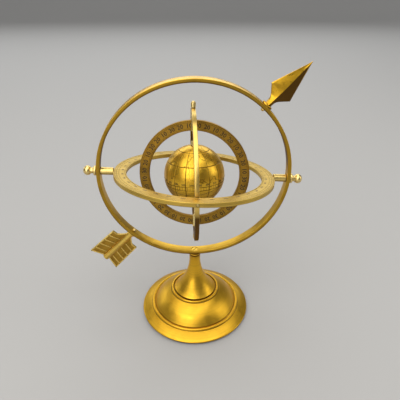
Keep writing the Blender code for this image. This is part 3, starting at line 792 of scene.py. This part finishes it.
def make_fletching():
    """A thick round shaft with a ribbed feather on each side of it."""
    _, _, low, _ = reach("arrow_fletching", TAIL_FRAME)
    start = low + 0.7 * MM
    outline = [(0, start), (SHAFT_RADIUS, start), (SHAFT_RADIUS, SHAFT_END - 0.6 * MM),
               (SHAFT_RADIUS - 0.18 * MM, SHAFT_END - 0.18 * MM),
               (SHAFT_RADIUS - 0.6 * MM, SHAFT_END), (0, SHAFT_END)]
    shaft = turned(outline, SMALL_STEPS)
    saddle(shaft, low)
    piece("arrow_shaft", shaft, TAIL_FRAME, SHAFT_BRASS, STAND, "antique_brass",
          ["arrow_fletching"])
    webs, ribs = bmesh.new(), bmesh.new()
    shares = [i / 16 for i in range(17)]
    for side in (1, -1):
        front = [(side * (VANE_ROOT + (VANE_FRONT_REACH - VANE_ROOT) * t), vane_front(t))
                 for t in shares]
        rear = [(side * VANE_REAR_REACH, VANE_REAR_CORNER),
                (side * VANE_ROOT, SHAFT_END - 2 * MM)]
        slab(webs, front + rear, WEB_HALF)
        slab(ribs, front + [(x, z + RIB_WIDTH) for x, z in front[::-1]], RIB_HALF)
        rim = [(side * vane_outer(z), z) for z in (VANE_FRONT_CORNER + 0.3 * MM,
                                                   VANE_REAR_CORNER)]
        slab(ribs, rim + [(x - side * 1.4 * MM, z - 0.4 * MM) for x, z in rim[::-1]], RIB_HALF)
        pitch = (VANE_REAR_CORNER - VANE_FRONT_CORNER) / RIB_COUNT
        for k in range(1, RIB_COUNT):
            slab(ribs, vane_rib(side, VANE_FRONT_CORNER + pitch * k + 1.2 * MM), RIB_HALF)
        slab(ribs, rear + [(x, z - RIB_WIDTH) for x, z in rear[::-1]], RIB_HALF)
    # painted shade: the webs between the ribs are darkened evenly to 0.5
    tarnish_and_shade_layer = webs.verts.layers.float.new("stored_tarnish_and_shade")
    for vertex in webs.verts:
        vertex[tarnish_and_shade_layer] = 0.5
    piece("fletching_webs", webs, TAIL_FRAME, CAST_BRASS, STAND, "antique_brass")
    bmesh.ops.recalc_face_normals(ribs, faces=ribs.faces)
    round_edges(ribs, 0.28 * MM)
    piece("fletching_ribs", ribs, TAIL_FRAME, RUBBED_AND_LIT_BRASS, STAND, "antique_brass")


def make_arrow_screws():
    """Round-headed screws, seen inside the outer ring, that hold the arrow's two halves."""
    for node, place in (("arrowhead_screw", HEAD_FRAME), ("fletching_screw", TAIL_FRAME)):
        inwards = place @ Matrix.Rotation(math.pi, 4, "X")
        _, radius, low, high = reach(node, inwards)
        seat, shank = high - DOME_HEIGHT, 1.2 * MM
        outline = [(0, low), (shank, low), (shank, seat)]
        outline += dome_outline(radius, seat, DOME_HEIGHT)
        bright_piece(f"{node}_head", slotted(outline, 0.9 * MM, 0.5), inwards, STAND, node)


def make_ring_screw():
    """The countersunk screw that holds the ring to the stem."""
    _, radius, low, high = reach("ring_screw", STAND_FRAME)
    shank = 1.8 * MM
    outline = [(0, low), (shank, low), (shank, high - 1.9 * MM),
               (radius, high - 0.2 * MM), (radius - 0.2 * MM, high), (0, high)]
    piece("ring_screw_head", slotted(outline, 0.8 * MM, 0.9), STAND_FRAME, RING_BRASS, STAND,
          "polished_brass", ["ring_screw"])


# ---- horizon ring

def swing_place(side):
    """The swing screws' frames: Z out of the front of the horizon ring, or out of its back."""
    return towards(SWING_AXIS * side, Vector((0, 0, 1)))


def make_horizon_ring():
    """A pale plate with turned grooves, a scale of degrees and a number every ten."""
    bore, radius, low, high = reach("horizon_ring", HORIZON_FRAME)
    grooves = [bore + 1.0 * MM, bore + 1.7 * MM, radius - 5.4 * MM, radius - 3.2 * MM,
               radius - 1.1 * MM]
    outline = ring_outline(bore, radius, low, high, 0.4 * MM, grooves, [0.0],
                           half_width=0.16 * MM, depth=0.12 * MM)
    plate = turned(outline, FINE_STEPS, True)
    for side, word in ((-1, "front"), (1, "back")):
        place = swing_place(side)
        _, head, _, head_top = reach(f"meridian_pivot_{word}", place)
        plate = drill(plate, head + 0.25 * MM, head_top - 1.2 * MM, radius + MM,
                      HORIZON_FRAME.inverted() @ place)
    piece("horizon_plate", plate, HORIZON_FRAME, PALE_BRASS, HORIZON, "pale_brass",
          ["horizon_ring"])
    spans = from_rim(radius - 1.2 * MM, (10, 4.0), (5, 3.0), (1, 1.9))
    engrave("horizon", HORIZON_FRAME, high, [(360, 0.13 * MM, spans)], range(0, 360, 10),
            3.1 * MM, bore + 4.0 * MM, 0, False, SOFT_FILL, HORIZON, "pale_brass")


def finial_outline(collar, start, end):
    """A rounded collar, a waist and a slightly flattened ball."""
    edge, shoulder, waist = 0.5 * MM, 0.6 * MM, 3.1 * MM
    collar_end = start + 2.3 * MM
    ball_radius, ball_half = 5.0 * MM, 4.4 * MM
    outline = [(0, start), (collar - edge, start)]
    outline += arc((collar - edge, start + edge), edge, -90, 0, 5)
    outline += arc((collar - shoulder, collar_end - shoulder), shoulder, 0, 80, 6)
    outline += [(waist + 0.6 * MM, collar_end + 0.2 * MM, 0.4),
                (waist + 0.2 * MM, collar_end + 0.7 * MM, 0.3),
                (waist + 0.1 * MM, collar_end + 1.2 * MM, 0.2)]
    outline += [(ball_radius * math.cos(a), end - ball_half + ball_half * math.sin(a))
                for a in (math.radians(-50 + 7 * i) for i in range(20))]
    return outline + [(0, end)]


def make_rods():
    """The horizon ring's two axles, with thin ends in both rings and a ball outside."""
    inner_end, outer_end, chamfer = 1.1 * MM, 1.4 * MM, 0.35 * MM
    shoulder_in = reach("horizon_ring", HORIZON_FRAME)[1] + 0.3 * MM
    shoulder_out = reach("outer_ring", OUTER_FRAME)[0] - 0.3 * MM
    for side, word in ((1, "right"), (-1, "left")):
        place = towards(ROD_AXIS * side, SWING_AXIS)
        _, radius, low, high = reach(f"pivot_rod_{word}", place)
        outline = ([(0, low), (inner_end, low)]
                   + barrel(inner_end, radius, shoulder_in, shoulder_out, chamfer)[:-1]
                   + [(outer_end, shoulder_out), (outer_end, high), (0, high)])
        piece(f"rod_{word}", turned(outline, MEDIUM_STEPS), place, ROD_BRASS, HORIZON,
              "antique_brass", [f"pivot_rod_{word}"])
        _, collar, start, end = reach(f"pivot_finial_{word}", place)
        ball = turned(finial_outline(collar, start, end), MEDIUM_STEPS)
        bright_piece(f"finial_{word}", ball, place, HORIZON, f"pivot_finial_{word}")


def make_swing_screws():
    """The screws in the horizon ring's edge that the meridian ring swings on."""
    shank, head_depth = 0.8 * MM, 1.6 * MM
    for side, word in ((-1, "front"), (1, "back")):
        place = swing_place(side)
        node = f"meridian_pivot_{word}"
        _, radius, low, high = reach(node, place)
        outline = [(0, low), (shank, low), (shank, high - head_depth),
                   (radius, high - head_depth), (radius, high - 0.2 * MM),
                   (radius - 0.2 * MM, high), (0, high)]
        bright_piece(f"swing_screw_{word}", slotted(outline, 0.5 * MM, 0.3), place, HORIZON,
                     node)


# ---- meridian ring and polar pin

def make_meridian_ring():
    """A plate darkened below the centre by painted shade, with a scale on each face."""
    bore, radius, low, high = reach("meridian_ring", MERIDIAN_FRAME)
    grooves = [bore + 0.8 * MM, radius - 3.4 * MM, radius - 0.9 * MM]
    outline = ring_outline(bore, radius, low, high, 0.4 * MM, grooves, half_width=0.15 * MM,
                           depth=0.12 * MM)
    plate = turned(outline, FINE_STEPS, True)
    tarnish_and_shade_layer = plate.verts.layers.float["stored_tarnish_and_shade"]
    # painted shade: darker from 8 mm below the centre, up to 0.92 at 18 mm below
    shade_start, shade_full = 8 * MM, 18 * MM
    for vertex in plate.verts:
        below = CENTRE.z - (MERIDIAN_FRAME @ vertex.co).z
        share = min(max((below - shade_start) / (shade_full - shade_start), 0.0), 1.0)
        vertex[tarnish_and_shade_layer] = max(vertex[tarnish_and_shade_layer], 0.92 * share)
    piece("meridian_plate", plate, MERIDIAN_FRAME, LIGHT_BRASS, MERIDIAN, "antique_brass",
          ["meridian_ring"])
    spans = from_rim(radius - 1.0 * MM, (5, 2.3), (1, 1.3))
    from_equator = [abs((angle + 90) % 180 - 90) for angle in range(0, 360, 10)]
    # The frame's X is the polar axis, so the numbers count from the equator on Y
    engrave("meridian", MERIDIAN_FRAME @ Matrix.Rotation(math.pi / 2, 4, "Z"), high,
            [(180, 0.14 * MM, spans)], from_equator, 2.6 * MM, bore + 3.1 * MM, 0, True,
            DARK_FILL, MERIDIAN, "antique_brass")


def make_polar_axle():
    _, radius, low, high = reach("polar_pin", POLAR_FRAME)
    axle = turned([(0, low), (radius, low), (radius, high), (0, high)], SMALL_STEPS)
    bright_piece("polar_axle", axle, POLAR_FRAME, MERIDIAN, "polar_pin")


def make_acorn_nut(place, word):
    """The domed nut at one end of the polar axle."""
    _, radius, low, high = reach(f"polar_nut_{word}", place)
    side_end, chamfer = low + 4.0 * MM, 0.4 * MM
    outline = [(0, low), (radius - chamfer, low), (radius, low + chamfer)]
    outline += dome_outline(radius, side_end, high - side_end)
    bright_piece(f"acorn_nut_{word}", turned(outline, SMALL_STEPS), place, MERIDIAN,
                 f"polar_nut_{word}")


def make_spacer(place, word):
    """The sleeve that keeps the globe off the meridian ring at one end."""
    tube = turned(barrel(*reach(f"globe_collar_{word}", place), 0.25 * MM), SMALL_STEPS, True)
    bright_piece(f"spacer_{word}", tube, place, MERIDIAN, f"globe_collar_{word}")


def make_bush(place, word):
    """The flanged bush in one of the globe's poles."""
    bore, flange, low, high = reach(f"globe_bush_{word}", place)
    sleeve, shoulder, chamfer = 2.3 * MM, high - 1.1 * MM, 0.4 * MM
    outline = [(bore, low), (sleeve, low), (sleeve, shoulder), (flange, shoulder),
               (flange, high - chamfer), (flange - chamfer, high), (bore, high)]
    bright_piece(f"bush_{word}", turned(outline, SMALL_STEPS, True), place, GLOBE,
                 f"globe_bush_{word}")


def make_polar_parts():
    make_polar_axle()
    for turn, word in ((0, "top"), (math.pi, "bottom")):
        place = POLAR_FRAME @ Matrix.Rotation(turn, 4, "X")
        make_acorn_nut(place, word)
        make_spacer(place, word)
        make_bush(place, word)


# ---- zodiac ring and globe

def zodiac_section():
    """The flat ring's bore, radius and half thickness, measured away from its bosses."""
    inverse = ZODIAC_FRAME.inverted()
    points = [inverse @ v.co for v in frame["nodes"]["zodiac_ring"].data.vertices]
    flat = [p for p in points if abs(p.y) < 20 * MM]
    radii = [math.hypot(p.x, p.y) for p in flat]
    return min(radii), max(radii), max(p.z for p in flat)


def make_zodiac_ring():
    """Twelve sectors on each face, numbered in tens, with the cuts filled dark."""
    bore, radius, high = zodiac_section()
    grooves = [bore + 0.8 * MM, bore + 2.0 * MM, radius - 2.4 * MM, radius - 0.8 * MM]
    outline = ring_outline(bore, radius, -high, high, 0.4 * MM, grooves, half_width=0.16 * MM,
                           depth=0.14 * MM)
    piece("zodiac_plate", turned(outline, FINE_STEPS, True), ZODIAC_FRAME, ZODIAC_BRASS,
          ZODIAC, "engraved_brass", ["zodiac_ring"])
    tick_start, tick_end, width = bore + 0.9 * MM, radius - 0.9 * MM, 0.2 * MM
    outer = [(15, tick_start, tick_end)] + from_rim(tick_end, (5, 1.4), (1, 1.0))
    inner = [(1, tick_start, tick_start + 1.0 * MM)]
    engrave("zodiac", ZODIAC_FRAME, high, [(180, width, outer), (72, width, inner)],
            [10, 20, 30] * 12, 6.2 * MM, (bore + radius) / 2 - 0.2 * MM, 5, True,
            DARK_FILL, ZODIAC, "engraved_brass")
    make_zodiac_bosses(bore - 0.6 * MM)


def make_zodiac_bosses(start):
    """Round bosses about the polar axle, at the top and the bottom of the zodiac ring."""
    radius, pin_hole = 2.9 * MM, 1.3 * MM
    polar = ZODIAC_FRAME @ Matrix.Rotation(-math.pi / 2, 4, "X")
    end = reach("zodiac_ring", polar)[3]
    for turn, word in ((0, "top"), (math.pi, "bottom")):
        boss = turned(barrel(pin_hole, radius, start, end, 0.3 * MM), SMALL_STEPS, True)
        piece(f"zodiac_boss_{word}", boss, polar @ Matrix.Rotation(turn, 4, "X"),
              BRIGHT_BRASS, ZODIAC, "engraved_brass")


GLOBE_CUT = 0.85  # half the width of the globe's cut lines, in degrees
GLOBE_CUT_DEPTH = 0.28 * MM
GLOBE_CAP = 87.0  # the latitude past which the bushes hide the globe
STROKE_LOW, STROKE_HIGH = -0.5 * MM, 0.02 * MM  # a dark stroke's reach through the surface


def surface_place(radius, longitude, latitude):
    """A place on the globe: Z out of it, X towards the south, Y towards the east."""
    return (Matrix.Rotation(math.radians(longitude), 4, "Z")
            @ Matrix.Rotation(math.radians(90.0 - latitude), 4, "Y")
            @ Matrix.Translation((0, 0, radius)))


def cut_stations(lines, half_width, spacing, low, high, wrap=False):
    """Angles of a grid in degrees, close together at each cut line, and each one's depth."""
    stations = {}
    count = round((high - low) / spacing)
    for i in range(count if wrap else count + 1):
        angle = low + (high - low) * i / count
        if all(abs((angle - line + 180) % 360 - 180) > 1.6 * half_width for line in lines):
            stations[angle] = 0.0
    for line in lines:
        for share, depth in ((-1.0, 0.0), (-0.4, 0.85), (0.0, 1.0), (0.4, 0.85), (1.0, 0.0)):
            angle = line + share * half_width
            stations[(angle - low) % 360 + low if wrap else angle] = depth
    return sorted(stations.items())


def make_globe_shell(radius):
    """A sphere with its meridians, its parallels and a belt at the equator cut into it."""
    meridians = [14.1 + 22.5 * i for i in range(16)]
    parallels = [-60, -30, -13.5, -6.5, 30, 60]
    meridian_end = 72
    longitudes = cut_stations(meridians, GLOBE_CUT, 1.5, 0.0, 360.0, wrap=True)
    latitudes = cut_stations(parallels, GLOBE_CUT, 1.5, -GLOBE_CAP, GLOBE_CAP)
    bm = bmesh.new()
    layer = bm.verts.layers.float.new("stored_tarnish_and_shade")
    rows = []
    for latitude, across_depth in latitudes:
        row = []
        for longitude, along_depth in longitudes:
            depth = max(across_depth, along_depth if abs(latitude) < meridian_end else 0.0)
            size = radius - GLOBE_CUT_DEPTH * depth
            a, b = math.radians(longitude), math.radians(latitude)
            vertex = bm.verts.new((size * math.cos(b) * math.cos(a),
                                   size * math.cos(b) * math.sin(a), size * math.sin(b)))
            vertex[layer] = 0.97 * depth
            row.append(vertex)
        rows.append(row)
    skin(bm, rows)
    bm.faces.new(rows[0])
    bm.faces.new(rows[-1])
    piece("globe_shell", bm, GLOBE_FRAME, GLOBE_BRASS, GLOBE, "engraved_brass",
          ["globe_north", "globe_south"])


def make_globe_divisions(radius):
    """Dark strokes between the belt's edges, and the degrees above them."""
    marks = bmesh.new()
    half_width, half_length = 0.12 * MM, math.radians(3.2) * radius
    for i in range(72):
        bar(marks, (-half_length, -half_width, STROKE_LOW), (half_length, half_width, STROKE_HIGH),
            surface_place(radius, 5.0 * i, -10.0))
    upright = Matrix.Rotation(math.pi / 2, 4, "Z")
    for i in range(24):
        place = surface_place(radius + INLAY_MIDDLE, 15.0 * i + 2.8, -2.2)
        stamp(marks, str(15 * i), 2.9 * MM, place @ upright)
    piece("globe_divisions", marks, GLOBE_FRAME, DARK_FILL, GLOBE, "engraved_brass")


def make_globe_ecliptic(radius):
    """A dark line tilted to the equator, with a short stroke every ten degrees."""
    belt = bmesh.new()
    tilt = Matrix.Rotation(ECLIPTIC_TILT, 4, "X")
    half_width, stroke, count = 0.15 * MM, 1.2 * MM, 144
    half_step = radius * math.tan(math.pi / count)
    for i in range(count):
        place = tilt @ surface_place(radius, 360.0 * i / count, 0.0)
        bar(belt, (-half_width, -half_step, STROKE_LOW), (half_width, half_step, STROKE_HIGH),
            place)
        if i % 4 == 0:
            bar(belt, (0.0, -half_width, STROKE_LOW), (stroke, half_width, STROKE_HIGH), place)
    piece("globe_ecliptic", belt, GLOBE_FRAME, DARK_FILL, GLOBE, "engraved_brass")


def make_globe():
    radius = reach("globe_north", GLOBE_FRAME)[1]
    make_globe_shell(radius)
    make_globe_divisions(radius)
    make_globe_ecliptic(radius)


# ---- setting

def softbox(name, place, width, height, radiance, tint):
    """A rectangular light that faces the sphere's centre and shines with an even radiance."""
    lamp = bpy.data.lights.new(name, "AREA")
    lamp.shape = "RECTANGLE"
    lamp.size, lamp.size_y = width, height
    lamp.energy = radiance * math.pi * width * height
    lamp.color = tint
    holder = add_object(name, lamp)
    holder.location = place
    holder.rotation_euler = (CENTRE - Vector(place)).to_track_quat("-Z", "Y").to_euler()


def make_world():
    """Even studio light on the floor, but a dim surrounding for the brass to reflect."""
    world = bpy.data.worlds.new("studio")
    world.use_nodes = True
    tree = world.node_tree
    background = tree.nodes["Background"]
    background.inputs["Color"].default_value = (0.97, 0.98, 1.0, 1.0)
    rays = tree.nodes.new("ShaderNodeLightPath")
    strength = tree.nodes.new("ShaderNodeMapRange")
    strength.inputs["To Min"].default_value = 0.50  # for all other rays
    strength.inputs["To Max"].default_value = 0.09  # for reflections
    tree.links.new(rays.outputs["Is Glossy Ray"], strength.inputs["Value"])
    tree.links.new(strength.outputs[0], background.inputs["Strength"])
    bpy.context.scene.world = world


def make_setting():
    """A wide pale floor that curves up far away all round, and soft lights."""
    flat, bend = 2.6, 1.4
    outline = [(0, 0), (0.6, 0), (1.4, 0), (flat, 0)]
    outline += [(flat + bend * math.sin(a), bend - bend * math.cos(a))
                for a in (math.pi / 2 * i / 16 for i in range(1, 17))]
    mesh = mesh_of(turned(outline, MEDIUM_STEPS), "floor")
    mesh.shade_smooth()
    shader = Shader("pale_floor")
    shader.set(Base_Color=colour(0.36, 0.355, 0.345), Roughness=0.9)
    mesh.materials.append(shader.material)
    add_object("floor", mesh)

    warm, cool = (1.0, 0.975, 0.94), (0.96, 0.98, 1.0)
    softbox("overhead", (-0.15, -0.25, 1.50), 1.9, 2.5, 1.9, warm)
    softbox("behind", (0.0, 1.9, 1.1), 2.8, 1.1, 1.8, cool)
    softbox("front_left", (-0.80, -1.55, 0.85), 1.3, 1.4, 2.0, warm)
    softbox("behind_left", (-1.9, 1.3, 0.6), 1.2, 0.9, 1.5, cool)
    softbox("right", (1.3, -0.2, 0.7), 0.6, 0.9, 2.0, warm)
    make_world()
    bpy.context.scene.view_settings.view_transform = "Standard"


def make_camera():
    """Look at the sphere's centre from a distance, then pan until the object is framed."""
    azimuth, elevation = math.radians(-1.53), math.radians(27.26)
    distance = 436.6 * MM
    side_pan, up_pan, roll = math.radians(0.749), math.radians(3.488), math.radians(0.223)
    offset = Vector((math.sin(azimuth) * math.cos(elevation),
                     -math.cos(azimuth) * math.cos(elevation), math.sin(elevation)))
    look = offset.to_track_quat("Z", "Y").to_matrix()
    pan = (Matrix.Rotation(roll, 3, "Z") @ Matrix.Rotation(up_pan, 3, "X")
           @ Matrix.Rotation(side_pan, 3, "Y"))
    lens = bpy.data.cameras.new("camera")
    lens.sensor_width = 36.0
    lens.lens = 37.83
    lens.clip_start = 0.01
    camera = add_object("camera", lens)
    camera.matrix_world = (Matrix.Translation(CENTRE + offset * distance)
                           @ (look @ pan.transposed()).to_4x4())
    bpy.context.scene.camera = camera


# ---- everything

make_foot()
make_stem()
make_felt()
make_outer_ring()
make_arrowhead()
make_fletching()
make_arrow_screws()
make_ring_screw()
make_horizon_ring()
make_rods()
make_swing_screws()
make_meridian_ring()
make_polar_parts()
make_zodiac_ring()
make_globe()
for plated in ("base_washer", "base_bolt"):
    frame["nodes"][plated].data.materials.clear()
    frame["nodes"][plated].data.materials.append(ZINC)
make_setting()
make_camera()
